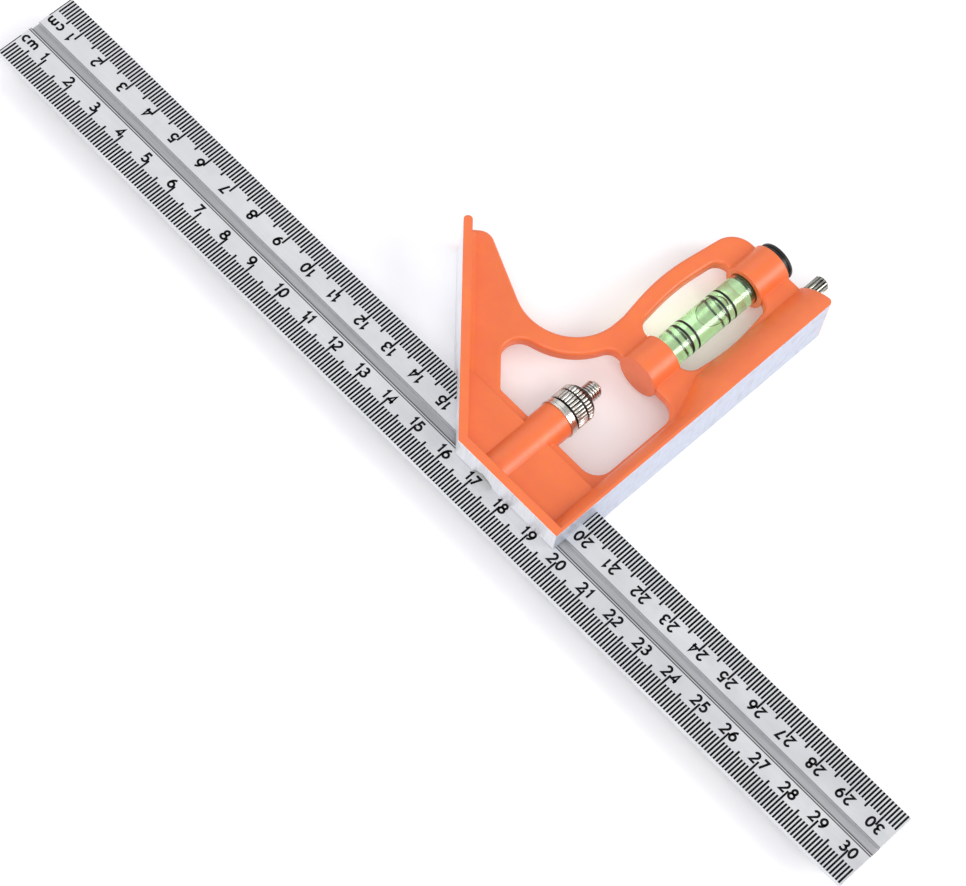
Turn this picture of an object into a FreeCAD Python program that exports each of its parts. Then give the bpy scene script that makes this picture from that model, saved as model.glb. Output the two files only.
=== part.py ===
import FreeCAD, Part
import os

import Sketcher

# Combination square: a steel rule that slides through a die-cast head and is clamped in it.
# +X runs along the rule, +Y up the head's square face, +Z out of the face that looks up on a bench.
# Places on the head are given as "left" (towards -X from the square face) and "up" (towards +Y from
# the rule's reference edge, which bears on the head).

DIMENSIONS = {
    # frame
    "square_face_x": 44.6,
    "reference_y": -33,
    "mid_plane": 8.5,
    # rule
    "blade_length": 304.8,
    "blade_width": 25,
    "blade_thickness": 2,
    "groove_width": 2.7,
    "groove_depth": 0.9,
    "groove_centre_down": 12.5,
    # head casting
    "head_thickness": 17,
    "head_top": 84.2,
    "jaw_depth": 15.5,
    "miter_offset": 50.3,
    "arm_tip_up": 29.85,
    "arm_end_width": 7.56,
    "arm_corner_radius": 4,
    "web_thickness": 4,
    "web_edge_radius": 1.1,
    "flange_thickness": 2.4,
    "flange_root": 1.6,
    "root_inset": 1.5,
    "miter_root_length": 58,
    "tip_radius": 1.1,
    "jaw_rim": 2.5,
    "square_rim": 0.8,
    "cheek_top": 2.7,
    "cheek_thickness": 7,
    "slot_width": 2.2,
    "slot_above_blade": 0.05,
    "cut_overrun": 1,
    "mouth_relief_up": 1.6,
    "mouth_relief_depth": 2,
    "ramp_low_left": 5,
    "ramp_low_up": 33,
    "ramp_low_radius": 8.8,
    "ramp_high_left": 10.1,
    "ramp_high_up": 45,
    "ramp_high_radius": 14,
    "top_corner_radius": 1.6,
    # clamp
    "clamp_left": 25.1,
    "clamp_boss_radius": 5.25,
    "clamp_boss_bottom": -12.7,
    "clamp_boss_top": 10.8,
    "clamp_bore_radius": 3.7,
    "clamp_bore_top": 8.8,
    "shank_hole_radius": 2.6,
    "bolt_radius": 3.6,
    "bolt_bottom": -14.9,
    "bolt_shoulder": 4.5,
    "bolt_above_blade": 1.15,
    "bolt_front_gap": 1.15,
    "tooth_top": -11.25,
    "tooth_bottom": -12.7,
    "tooth_inner": 0.25,
    "shank_radius": 2.5,
    "shank_top": 11,
    "thread_core_radius": 2.1,
    "bolt_top": 25,
    "bolt_chamfer": 0.5,
    "spring_wire_radius": 0.3,
    "spring_radius": 3.05,
    "spring_gap": 0.08,
    "spring_turns": 3.5,
    "washer_radius": 5.6,
    "washer_bore_radius": 2.6,
    "washer_thickness": 0.7,
    "nut_gap": 0.05,
    "nut_bore_radius": 2.15,
    "nut_collar_radius": 5.5,
    "nut_collar_top": 12.9,
    "nut_radius": 5.4,
    "nut_top": 20,
    "nut_chamfer": 0.8,
    # spirit level
    "vial_left": 20.3,
    "vial_boss_radius": 6.2,
    "lower_boss_bottom": 34.8,
    "lower_boss_top": 44,
    "upper_boss_bottom": 73.8,
    "vial_bore_radius": 4.65,
    "vial_bore_bottom": 36.3,
    "pad_radius": 4.5,
    "tube_bottom": 37.8,
    "tube_top": 77.5,
    "tube_radius": 4.55,
    "tube_bore_radius": 3.85,
    "tube_floor": 1.5,
    "liquid_top": 72.2,
    "ring_depth": 0.15,
    "ring_width": 0.7,
    "ring_1_up": 50.8,
    "ring_2_up": 52.9,
    "ring_3_up": 63.9,
    "ring_4_up": 66.3,
    "bubble_up": 61.5,
    "bubble_raise": 2.2,
    "bubble_half_height": 2.6,
    "bubble_half_width": 3.3,
    "bubble_half_length": 4.9,
    "bubble_gap": 0.1,
    "cap_bottom": 78,
    "cap_stem_radius": 4.6,
    "cap_radius": 5.5,
    "cap_height": 2.5,
    "cap_chamfer": 0.6,
    # scriber
    "scriber_left": 8,
    "scriber_bore_radius": 1.7,
    "scriber_bore_bottom": 38,
    "bush_bottom": 72,
    "bush_bore_radius": 1.05,
    "pin_radius": 1,
    "pin_point": 41,
    "pin_point_length": 5,
    "knob_gap": 0.15,
    "knob_radius": 2.2,
    "knob_neck_radius": 1.6,
    "knob_neck_length": 0.9,
    "knob_top": 91,
    "knob_chamfer": 0.5,
    "knob_hole_top": 89,
}

# Corners of the casting's outlines: left, up and the radius that rounds the corner.
OUTLINES = {
    "web_edge": [
        (34.4, 17, 15),
        (34.6, 43.5, 15),
        (37.1, 59.5, 60),
        (33.4, 84.2, 7),
    ],
    "bolt_window": [
        (40.2, 5.4, 1.5),
        (5.8, 5.4, 5),
        (5.8, 35, 5.5),
        (29.8, 35, 3.5),
        (34.55, 23.2, 20.3),
        (53.05, 18.25, 5.1),
    ],
    "vial_window": [
        (30, 44.4, 4),
        (11.8, 44.4, 4),
        (9.9, 59, 60),
        (12, 74.3, 3.5),
        (30, 74.3, 3.5),
        (31.8, 60, 60),
    ],
}
# One leg of a 45 degree triangle whose long side is 1.
LEG = "0.70710678"
# Two places this near each other (mm) count as one.
SAME_PLACE = 1e-3

doc = FreeCAD.newDocument("combination_square")


def make_sheet():
    """Writes every driving dimension into its own named cell."""
    sheet = doc.addObject("Spreadsheet::Sheet", "dims")
    cells = dict(DIMENSIONS)
    for outline, corners in OUTLINES.items():
        for index, (left, up, radius) in enumerate(corners, 1):
            cells[f"{outline}_{index}_left"] = left
            cells[f"{outline}_{index}_up"] = up
            cells[f"{outline}_{index}_radius"] = radius
    for row, (name, size) in enumerate(cells.items(), 1):
        sheet.set(f"A{row}", name)
        sheet.set(f"B{row}", str(size))
        sheet.setAlias(f"B{row}", name)
    doc.recompute()
    return sheet


sheet = make_sheet()


def cell(expression):
    """Turns words in an expression into the sheet's cells."""
    words = expression.replace("(", " ( ").replace(")", " ) ").split()
    return " ".join("dims." + word if word[0].isalpha() else word for word in words)


def number(expression):
    """The expression's present value."""
    words = expression.replace("(", " ( ").replace(")", " ) ").split()
    values = [str(sheet.get(word)) if word[0].isalpha() else word for word in words]
    total = FreeCAD.Units.Quantity(" ".join(values))
    return total.Value


def at_left(left):
    """X of a place that is so far left of the square face."""
    return f"square_face_x - ( {left} )"


def at_up(up):
    """Y of a place that is so far above the rule's reference edge."""
    return f"reference_y + ( {up} )"


# Part design helpers


def new_body(label):
    body = doc.addObject("PartDesign::Body", label)
    body.Label = label
    return body


def new_sketch(body, name, role, offset=("0", "0", "0")):
    """A sketch on one of the body's origin planes, moved by an offset in the plane's own axes."""
    sketch = body.newObject("Sketcher::SketchObject", name)
    plane = [feature for feature in body.Origin.OriginFeatures if feature.Role == role][0]
    sketch.AttachmentSupport = [(plane, "")]
    sketch.MapMode = "FlatFace"
    for axis, distance in zip("xyz", offset):
        sketch.setExpression(f"AttachmentOffset.Base.{axis}", cell(distance))
    return sketch


def bind_point(sketch, geometry, point, across, along):
    """Holds one sketch point at a place given by two expressions."""
    for kind, expression in (("DistanceX", across), ("DistanceY", along)):
        index = sketch.addConstraint(
            Sketcher.Constraint(kind, geometry, point, number(expression))
        )
        sketch.setExpression(f"Constraints[{index}]", cell(expression))


def draw_polygon(sketch, corners):
    """A closed outline of straight lines through corners given as pairs of expressions."""
    points = [FreeCAD.Vector(number(across), number(along), 0) for across, along in corners]
    for start, end in zip(points, points[1:] + points[:1]):
        sketch.addGeometry(Part.LineSegment(start, end))
    count = len(points)
    for line in range(count):
        sketch.addConstraint(
            Sketcher.Constraint("Coincident", line, 2, (line + 1) % count, 1)
        )
    for line, (across, along) in enumerate(corners):
        bind_point(sketch, line, 1, across, along)


def draw_arc(sketch, start, end, radius):
    """An arc that runs anticlockwise between two places given as pairs of expressions."""
    first = FreeCAD.Vector(number(start[0]), number(start[1]), 0)
    last = FreeCAD.Vector(number(end[0]), number(end[1]), 0)
    chord = last - first
    inwards = FreeCAD.Vector(-chord.y, chord.x, 0).normalize()
    size = number(radius)
    depth = (size**2 - (chord.Length / 2) ** 2) ** 0.5
    circle = Part.Circle((first + last) / 2 + inwards * depth, FreeCAD.Vector(0, 0, 1), size)
    ends = circle.parameter(first), circle.parameter(last)
    arc = sketch.addGeometry(Part.ArcOfCircle(circle, *ends))
    bind_point(sketch, arc, 1, *start)
    bind_point(sketch, arc, 2, *end)
    index = sketch.addConstraint(Sketcher.Constraint("Radius", arc, size))
    sketch.setExpression(f"Constraints[{index}]", cell(radius))


def draw_line(sketch, start, end):
    """A straight line between two places given as pairs of expressions."""
    places = [FreeCAD.Vector(number(across), number(along), 0) for across, along in (start, end)]
    line = sketch.addGeometry(Part.LineSegment(*places))
    bind_point(sketch, line, 1, *start)
    bind_point(sketch, line, 2, *end)


def draw_circle(sketch, across, along, radius):
    centre = FreeCAD.Vector(number(across), number(along), 0)
    sketch.addGeometry(Part.Circle(centre, FreeCAD.Vector(0, 0, 1), number(radius)))
    bind_point(sketch, 0, 3, across, along)
    index = sketch.addConstraint(Sketcher.Constraint("Radius", 0, number(radius)))
    sketch.setExpression(f"Constraints[{index}]", cell(radius))


def extrude(body, kind, name, sketch, length, reverse=False, both_ways=False):
    """A Pad or a Pocket of the sketch."""
    feature = body.newObject(f"PartDesign::{kind}", name)
    feature.Profile = sketch
    feature.setExpression("Length", cell(length))
    feature.Reversed = reverse
    if both_ways:
        feature.SideType = "Symmetric"
    doc.recompute()
    return feature


def cut(body, name, sketch, length, reverse=False, both_ways=False):
    """A Pocket that has to take something away."""
    before = body.Shape.Volume
    feature = extrude(body, "Pocket", name, sketch, length, reverse, both_ways)
    if body.Shape.Volume >= before:
        raise RuntimeError(f"{name} cut nothing")
    return feature


def level_circle(body, name, left, radius, up):
    """A circle on the mid plane that looks along +Y."""
    lift = f"0 - ( {at_up(up)} )"
    sketch = new_sketch(body, name + "_circle", "XZ_Plane", ("0", "0", lift))
    draw_circle(sketch, at_left(left), "mid_plane", radius)
    return sketch


def boss(body, name, left, radius, bottom, top):
    """A round column that rises along +Y."""
    sketch = level_circle(body, name, left, radius, bottom)
    extrude(body, "Pad", name, sketch, f"( {top} ) - ( {bottom} )", reverse=True)


def bore(body, name, left, radius, bottom, top):
    """A round hole along Y, drawn at its upper end and cut downwards."""
    sketch = level_circle(body, name, left, radius, top)
    cut(body, name, sketch, f"( {top} ) - ( {bottom} )", reverse=True)


def turned(label, left, profile):
    """A body turned about an axis along +Y. The profile is pairs of radius and height."""
    body = new_body(label)
    offset = (at_left(left), "reference_y", "mid_plane")
    sketch = new_sketch(body, label + "_profile", "XY_Plane", offset)
    draw_polygon(sketch, profile)
    turn = body.newObject("PartDesign::Revolution", label + "_turn")
    turn.Profile = sketch
    turn.ReferenceAxis = (sketch, ["V_Axis"])
    turn.Angle = 360
    doc.recompute()
    return body


def round_edges(body, name, base, radius, chosen):
    """Rounds the edges of a feature that a test picks."""
    names = [
        f"Edge{index}" for index, edge in enumerate(base.Shape.Edges, 1) if chosen(edge)
    ]
    if not names:
        raise RuntimeError(f"{name} found no edges")
    fillet = body.newObject("PartDesign::Fillet", name)
    fillet.Base = (base, names)
    fillet.setExpression("Radius", cell(radius))
    doc.recompute()
    return fillet


def upright_at(across, along):
    """Picks the edges along Z that stand at one place."""
    place = FreeCAD.Vector(number(across), number(along), 0)

    def chosen(edge):
        ends = [vertex.Point for vertex in edge.Vertexes]
        flat = [FreeCAD.Vector(end.x, end.y, 0).distanceToPoint(place) for end in ends]
        return len(ends) == 2 and max(flat) < SAME_PLACE

    return chosen


def corner_places(outline):
    """The corners of an outline as pairs of expressions, with the name of each one's radius."""
    places = []
    for index in range(1, len(OUTLINES[outline]) + 1):
        stem = f"{outline}_{index}"
        places.append((at_left(stem + "_left"), at_up(stem + "_up"), stem + "_radius"))
    return places


# Head


def web_outline():
    """The casting's outer outline, from the arm's tip clockwise round to the miter face."""
    tip = (at_left("miter_offset + arm_tip_up"), at_up("arm_tip_up"))
    end_step = f"arm_end_width * {LEG}"
    arm_corner = (
        at_left(f"miter_offset + arm_tip_up - {end_step}"),
        at_up(f"arm_tip_up + {end_step}"),
    )
    free_edge = [place[:2] for place in corner_places("web_edge")]
    square_top = (at_left("0"), at_up("head_top"))
    square_bottom = (at_left("0"), at_up("0 - jaw_depth"))
    miter_bottom = (at_left("miter_offset - jaw_depth"), at_up("0 - jaw_depth"))
    return [tip, arm_corner] + free_edge + [square_top, square_bottom, miter_bottom]


def flange_outline():
    """A rim along the miter face, the jaws and, thinner, the square face."""
    tip = (at_left("miter_offset + arm_tip_up"), at_up("arm_tip_up"))
    inset = f"flange_thickness * {LEG}"
    rim_up = "jaw_rim - jaw_depth"
    return [
        tip,
        (at_left("miter_offset - jaw_depth"), at_up("0 - jaw_depth")),
        (at_left("0"), at_up("0 - jaw_depth")),
        (at_left("0"), at_up("head_top")),
        (at_left("square_rim"), at_up("head_top")),
        (at_left("square_rim"), at_up(rim_up)),
        (at_left(f"miter_offset + {rim_up} - 2 * {inset}"), at_up(rim_up)),
        (at_left(f"miter_offset + arm_tip_up - {inset}"), at_up(f"arm_tip_up + {inset}")),
    ]


def round_outline(body, name, feature, places):
    """Rounds an outline's upright edges, each with its own radius."""
    for index, (across, along, radius) in enumerate(places, 1):
        label = f"{name}_round_{index}"
        feature = round_edges(body, label, feature, radius, upright_at(across, along))
    return feature


def is_free_web_edge(edge):
    """Picks the rims of the web's free edge and of its windows, on both of its faces."""
    middle = number("mid_plane")
    half = number("web_thickness") / 2
    ends = [vertex.Point for vertex in edge.Vertexes]
    if any(abs(abs(end.z - middle) - half) > SAME_PLACE for end in ends):
        return False
    centre = edge.CenterOfMass
    left = number("square_face_x") - centre.x
    up = centre.y - number("reference_y")
    on_square = left < SAME_PLACE
    on_jaws = up < SAME_PLACE - number("jaw_depth")
    on_miter = abs(left - up - number("miter_offset")) < SAME_PLACE
    upright = abs(ends[0].z - ends[-1].z) > SAME_PLACE
    return not (on_square or on_jaws or on_miter or upright)


def cast_web(head):
    """The thin web with its two windows and rounded edges."""
    middle = ("0", "0", "mid_plane")
    outline = new_sketch(head, "web_outline", "XY_Plane", middle)
    draw_polygon(outline, web_outline())
    web = extrude(head, "Pad", "web", outline, "web_thickness", both_ways=True)
    end_step = f"arm_end_width * {LEG}"
    arm_corner = (
        at_left(f"miter_offset + arm_tip_up - {end_step}"),
        at_up(f"arm_tip_up + {end_step}"),
        "arm_corner_radius",
    )
    web = round_outline(head, "web", web, [arm_corner] + corner_places("web_edge"))
    for window in ("bolt_window", "vial_window"):
        places = corner_places(window)
        outline = new_sketch(head, window + "_outline", "XY_Plane", middle)
        draw_polygon(outline, [place[:2] for place in places])
        hole = cut(head, window, outline, "2 * web_thickness", both_ways=True)
        web = round_outline(head, window, hole, places)
    return round_edges(head, "web_soft_edges", web, "web_edge_radius", is_free_web_edge)


def add_miter_root(head):
    """A sloping root between the miter flange's inner wall and the web, run along the flange."""
    up = f"arm_tip_up - root_inset * {LEG}"
    offset = (at_left(f"miter_offset + {up}"), "mid_plane", f"0 - ( {at_up(up)} )")
    sketch = new_sketch(head, "miter_root_profile", "XZ_Plane", offset)
    sketch.AttachmentOffset = FreeCAD.Placement(
        FreeCAD.Vector(*[number(distance) for distance in offset]),
        FreeCAD.Rotation(FreeCAD.Vector(0, 1, 0), 45),
    )
    foot = "flange_thickness + flange_root"
    hidden = "flange_thickness / 2"
    low = "web_thickness / 2"
    high = "web_thickness / 2 + flange_root"
    draw_polygon(
        sketch,
        [
            (foot, f"0 - {low}"),
            ("flange_thickness", f"0 - ( {high} )"),
            (hidden, f"0 - ( {high} )"),
            (hidden, high),
            ("flange_thickness", high),
            (foot, low),
        ],
    )
    extrude(head, "Pad", "miter_root", sketch, "miter_root_length")


def add_flanges(head):
    """The full-thickness rim with its rounded tip, and the cheeks round the rule's slot."""
    middle = ("0", "0", "mid_plane")
    outline = new_sketch(head, "flange_outline", "XY_Plane", middle)
    corners = flange_outline()
    draw_polygon(outline, corners)
    flange = extrude(head, "Pad", "flange", outline, "head_thickness", both_ways=True)
    for name, corner in (("outer_tip", corners[0]), ("inner_tip", corners[-1])):
        flange = round_edges(head, name, flange, "tip_radius", upright_at(*corner))
    add_miter_root(head)
    cheek_left = "miter_offset + cheek_top"
    outline = new_sketch(head, "cheek_outline", "XY_Plane", middle)
    draw_polygon(
        outline,
        [
            (at_left("0"), at_up("0 - jaw_depth")),
            (at_left("0"), at_up("cheek_top")),
            (at_left(cheek_left), at_up("cheek_top")),
            (at_left("miter_offset - jaw_depth"), at_up("0 - jaw_depth")),
        ],
    )
    extrude(head, "Pad", "cheek", outline, "cheek_thickness", both_ways=True)


def ramp_section(head, name, foot, up, radius):
    """The ramp's cross-section at one height: it bulges from the web at its foot up to the rim."""
    lift = f"0 - ( {at_up(up)} )"
    outline = new_sketch(head, name, "XZ_Plane", ("0", "0", lift))
    back_foot = (at_left(foot), "mid_plane - web_thickness / 2")
    back_rim = (at_left("square_rim"), "mid_plane - head_thickness / 2")
    back_hidden = (at_left("square_rim / 2"), "mid_plane - head_thickness / 2")
    front_hidden = (at_left("square_rim / 2"), "mid_plane + head_thickness / 2")
    front_rim = (at_left("square_rim"), "mid_plane + head_thickness / 2")
    front_foot = (at_left(foot), "mid_plane + web_thickness / 2")
    draw_arc(outline, back_foot, back_rim, radius)
    draw_line(outline, back_rim, back_hidden)
    draw_line(outline, back_hidden, front_hidden)
    draw_line(outline, front_hidden, front_rim)
    draw_arc(outline, front_rim, front_foot, radius)
    draw_line(outline, front_foot, back_foot)
    return outline


def add_ramp(head):
    """The swell from the web to the square face, wider above, where it holds the scriber."""
    low = ("ramp_low_left", "ramp_low_radius")
    high = ("ramp_high_left", "ramp_high_radius")
    stations = [
        ("ramp_jaw", low, "0 - jaw_depth"),
        ("ramp_low", low, "ramp_low_up"),
        ("ramp_high", high, "ramp_high_up"),
        ("ramp_top", high, "head_top"),
    ]
    sections = [
        ramp_section(head, name, foot, up, radius) for name, (foot, radius), up in stations
    ]
    ramp = head.newObject("PartDesign::AdditiveLoft", "ramp")
    ramp.Profile = sections[0]
    ramp.Sections = sections[1:]
    ramp.Ruled = True
    doc.recompute()


def cut_slot(head):
    """The rule's slot, open below, with its mouth relieved where it leaves the miter face."""
    section = new_sketch(head, "slot_outline", "YZ_Plane", (at_up("0"), "mid_plane", "0"))
    draw_polygon(
        section,
        [
            ("0 - jaw_depth - cut_overrun", "0 - slot_width / 2"),
            ("slot_above_blade", "0 - slot_width / 2"),
            ("slot_above_blade", "slot_width / 2"),
            ("0 - jaw_depth - cut_overrun", "slot_width / 2"),
        ],
    )
    cut(head, "blade_slot", section, "blade_length", both_ways=True)
    outline = new_sketch(head, "mouth_outline", "XY_Plane", ("0", "0", "mid_plane"))
    inner = at_left("miter_offset - mouth_relief_depth")
    outer = at_left("miter_offset + mouth_relief_up + cut_overrun")
    top = at_up("mouth_relief_up")
    draw_polygon(
        outline,
        [(inner, at_up("0")), (outer, at_up("0")), (outer, top), (inner, top)],
    )
    cut(head, "mouth_relief", outline, "slot_width", both_ways=True)


def make_head():
    head = new_body("head")
    cast_web(head)
    add_flanges(head)
    add_ramp(head)
    corner = upright_at(at_left("0"), at_up("head_top"))
    round_edges(head, "top_corner", head.Tip, "top_corner_radius", corner)
    jaw_bottom = "0 - jaw_depth"
    boss(
        head, "clamp_boss", "clamp_left",
        "clamp_boss_radius", "clamp_boss_bottom", "clamp_boss_top",
    )
    boss(
        head, "lower_vial_boss", "vial_left",
        "vial_boss_radius", "lower_boss_bottom", "lower_boss_top",
    )
    boss(
        head, "upper_vial_boss", "vial_left",
        "vial_boss_radius", "upper_boss_bottom", "head_top",
    )
    bore(head, "clamp_bore", "clamp_left", "clamp_bore_radius", jaw_bottom, "clamp_bore_top")
    bore(head, "shank_hole", "clamp_left", "shank_hole_radius", "0", "clamp_boss_top")
    bore(head, "vial_bore", "vial_left", "vial_bore_radius", "vial_bore_bottom", "head_top")
    bore(
        head, "scriber_bore", "scriber_left",
        "scriber_bore_radius", "scriber_bore_bottom", "head_top",
    )
    cut_slot(head)


# Rule


def make_blade():
    """A flat rule with one groove along the middle of its front face."""
    blade = new_body("blade")
    section = new_sketch(blade, "blade_section", "YZ_Plane", (at_up("0"), "mid_plane", "0"))
    front = "blade_thickness / 2"
    floor = "blade_thickness / 2 - groove_depth"
    groove_top = "groove_width / 2 - groove_centre_down"
    groove_bottom = "0 - groove_width / 2 - groove_centre_down"
    draw_polygon(
        section,
        [
            ("0", "0 - blade_thickness / 2"),
            ("0", front),
            (groove_top, front),
            (groove_top, floor),
            (groove_bottom, floor),
            (groove_bottom, front),
            ("0 - blade_width", front),
            ("0 - blade_width", "0 - blade_thickness / 2"),
        ],
    )
    extrude(blade, "Pad", "blade_bar", section, "blade_length", both_ways=True)


# Clamp


def make_clamp_bolt():
    """The draw bolt: a half-round tongue in front of the rule, with a tooth in its groove."""
    bolt = turned(
        "clamp_bolt",
        "clamp_left",
        [
            ("0", "bolt_bottom"),
            ("bolt_radius", "bolt_bottom"),
            ("bolt_radius", "bolt_shoulder"),
            ("shank_radius", "bolt_shoulder"),
            ("shank_radius", "shank_top"),
            ("thread_core_radius", "shank_top"),
            ("thread_core_radius", "bolt_top - bolt_chamfer"),
            ("thread_core_radius - bolt_chamfer", "bolt_top"),
            ("0", "bolt_top"),
        ],
    )
    offset = (at_up("0"), "mid_plane", at_left("clamp_left"))
    notch = new_sketch(bolt, "tongue_notch", "YZ_Plane", offset)
    draw_polygon(
        notch,
        [
            ("bolt_bottom - cut_overrun", "0 - 2 * bolt_radius"),
            ("bolt_above_blade", "0 - 2 * bolt_radius"),
            ("bolt_above_blade", "bolt_front_gap"),
            ("tooth_top", "bolt_front_gap"),
            ("tooth_top", "tooth_inner"),
            ("tooth_bottom", "tooth_inner"),
            ("tooth_bottom", "bolt_front_gap"),
            ("bolt_bottom - cut_overrun", "bolt_front_gap"),
        ],
    )
    cut(bolt, "tongue_cut", notch, "4 * bolt_radius", both_ways=True)


def make_clamp_spring():
    """A coil of round wire between the bolt's shoulder and the roof of its bore."""
    wire = number("spring_wire_radius")
    bottom = number(at_up("bolt_shoulder + spring_gap + spring_wire_radius"))
    top = number(at_up("clamp_bore_top - spring_gap - spring_wire_radius"))
    radius = number("spring_radius")
    helix = Part.makeHelix((top - bottom) / number("spring_turns"), top - bottom, radius)
    start = Part.Circle(FreeCAD.Vector(radius, 0, 0), FreeCAD.Vector(0, 1, 0), wire)
    profile = Part.Wire([start.toShape()])
    coil = Part.Wire(helix).makePipeShell([profile], True, True)
    spring = doc.addObject("Part::Feature", "clamp_spring")
    spring.Label = "clamp_spring"
    spring.Shape = coil
    along_y = FreeCAD.Rotation(FreeCAD.Vector(1, 0, 0), -90)
    place = FreeCAD.Vector(number(at_left("clamp_left")), bottom, number("mid_plane"))
    spring.Placement = FreeCAD.Placement(place, along_y)


def make_clamp_washer_and_nut():
    washer_top = "clamp_boss_top + washer_thickness"
    turned(
        "clamp_washer",
        "clamp_left",
        [
            ("washer_bore_radius", "clamp_boss_top"),
            ("washer_radius", "clamp_boss_top"),
            ("washer_radius", washer_top),
            ("washer_bore_radius", washer_top),
        ],
    )
    nut_bottom = washer_top + " + nut_gap"
    turned(
        "clamp_nut",
        "clamp_left",
        [
            ("nut_bore_radius", nut_bottom),
            ("nut_collar_radius", nut_bottom),
            ("nut_collar_radius", "nut_collar_top"),
            ("nut_radius", "nut_collar_top"),
            ("nut_radius", "nut_top - nut_chamfer"),
            ("nut_radius - nut_chamfer", "nut_top"),
            ("nut_bore_radius", "nut_top"),
        ],
    )


# Spirit level


def make_vial_seat_pad():
    turned(
        "vial_seat_pad",
        "vial_left",
        [
            ("0", "vial_bore_bottom"),
            ("pad_radius", "vial_bore_bottom"),
            ("pad_radius", "tube_bottom"),
            ("0", "tube_bottom"),
        ],
    )


def make_vial_tube():
    """A tube closed at its lower end, with four shallow seats for the reading rings."""
    seats = []
    for ring in (1, 2, 3, 4):
        low = f"ring_{ring}_up - ring_width / 2"
        high = f"ring_{ring}_up + ring_width / 2"
        seats += [
            ("tube_radius", low),
            ("tube_radius - ring_depth", low),
            ("tube_radius - ring_depth", high),
            ("tube_radius", high),
        ]
    turned(
        "vial_tube",
        "vial_left",
        [
            ("0", "tube_bottom"),
            ("tube_radius", "tube_bottom"),
        ]
        + seats
        + [
            ("tube_radius", "tube_top"),
            ("tube_bore_radius", "tube_top"),
            ("tube_bore_radius", "tube_bottom + tube_floor"),
            ("0", "tube_bottom + tube_floor"),
        ],
    )


def make_vial_rings():
    for ring in (1, 2, 3, 4):
        low = f"ring_{ring}_up - ring_width / 2"
        high = f"ring_{ring}_up + ring_width / 2"
        turned(
            f"vial_ring_{ring}",
            "vial_left",
            [
                ("tube_radius - ring_depth", low),
                ("tube_radius", low),
                ("tube_radius", high),
                ("tube_radius - ring_depth", high),
            ],
        )


def vial_bar(name, radius, bottom, top):
    """A plain bar along the vial's axis."""
    bar = doc.addObject("Part::Cylinder", name)
    bar.setExpression("Radius", cell(radius))
    bar.setExpression("Height", cell(f"( {top} ) - ( {bottom} )"))
    bar.Placement.Rotation = FreeCAD.Rotation(FreeCAD.Vector(1, 0, 0), -90)
    bar.setExpression("Placement.Base.x", cell(at_left("vial_left")))
    bar.setExpression("Placement.Base.y", cell(at_up(bottom)))
    bar.setExpression("Placement.Base.z", "dims.mid_plane")
    return bar


def bubble_form(name, extra):
    """An egg lying along the vial, near the top of its bore."""
    egg = doc.addObject("Part::Ellipsoid", name)
    egg.setExpression("Radius1", cell(f"bubble_half_height + {extra}"))
    egg.setExpression("Radius2", cell(f"bubble_half_width + {extra}"))
    egg.setExpression("Radius3", cell(f"bubble_half_length + {extra}"))
    egg.setExpression("Placement.Base.x", cell(at_left("vial_left")))
    egg.setExpression("Placement.Base.y", cell(at_up("bubble_up")))
    egg.setExpression("Placement.Base.z", cell("mid_plane + bubble_raise"))
    return egg


def make_vial_contents():
    """The liquid, the bubble that lies against the top of the bore, and the stopper."""
    bottom = "tube_bottom + tube_floor"
    bubble = doc.addObject("Part::Common", "vial_bubble")
    bubble.Label = "vial_bubble"
    room = vial_bar("bubble_room", "tube_bore_radius - bubble_gap", bottom, "liquid_top")
    bubble.Base = room
    bubble.Tool = bubble_form("bubble_egg", "0")
    liquid = doc.addObject("Part::Cut", "vial_liquid")
    liquid.Label = "vial_liquid"
    liquid.Base = vial_bar("liquid_bar", "tube_bore_radius", bottom, "liquid_top")
    liquid.Tool = bubble_form("bubble_hollow", "bubble_gap")
    turned(
        "vial_plug",
        "vial_left",
        [
            ("0", "liquid_top"),
            ("tube_bore_radius", "liquid_top"),
            ("tube_bore_radius", "tube_top"),
            ("0", "tube_top"),
        ],
    )


def make_vial_end_cap():
    turned(
        "vial_end_cap",
        "vial_left",
        [
            ("0", "cap_bottom"),
            ("cap_stem_radius", "cap_bottom"),
            ("cap_stem_radius", "head_top"),
            ("cap_radius", "head_top"),
            ("cap_radius", "head_top + cap_height - cap_chamfer"),
            ("cap_radius - cap_chamfer", "head_top + cap_height"),
            ("0", "head_top + cap_height"),
        ],
    )


# Scriber


def make_scriber():
    """The pointed pin, the knob pressed on its upper end and the sleeve that grips it."""
    turned(
        "scriber_pin",
        "scriber_left",
        [
            ("0", "pin_point"),
            ("pin_radius", "pin_point + pin_point_length"),
            ("pin_radius", "knob_hole_top"),
            ("0", "knob_hole_top"),
        ],
    )
    knob_bottom = "head_top + knob_gap"
    knob_shoulder = knob_bottom + " + knob_neck_length"
    turned(
        "scriber_knob",
        "scriber_left",
        [
            ("pin_radius", knob_bottom),
            ("knob_neck_radius", knob_bottom),
            ("knob_neck_radius", knob_shoulder),
            ("knob_radius", knob_shoulder),
            ("knob_radius", "knob_top - knob_chamfer"),
            ("knob_radius - knob_chamfer", "knob_top"),
            ("0", "knob_top"),
            ("0", "knob_hole_top"),
            ("pin_radius", "knob_hole_top"),
        ],
    )
    turned(
        "scriber_bush",
        "scriber_left",
        [
            ("bush_bore_radius", "bush_bottom"),
            ("scriber_bore_radius", "bush_bottom"),
            ("scriber_bore_radius", "head_top"),
            ("bush_bore_radius", "head_top"),
        ],
    )


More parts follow.
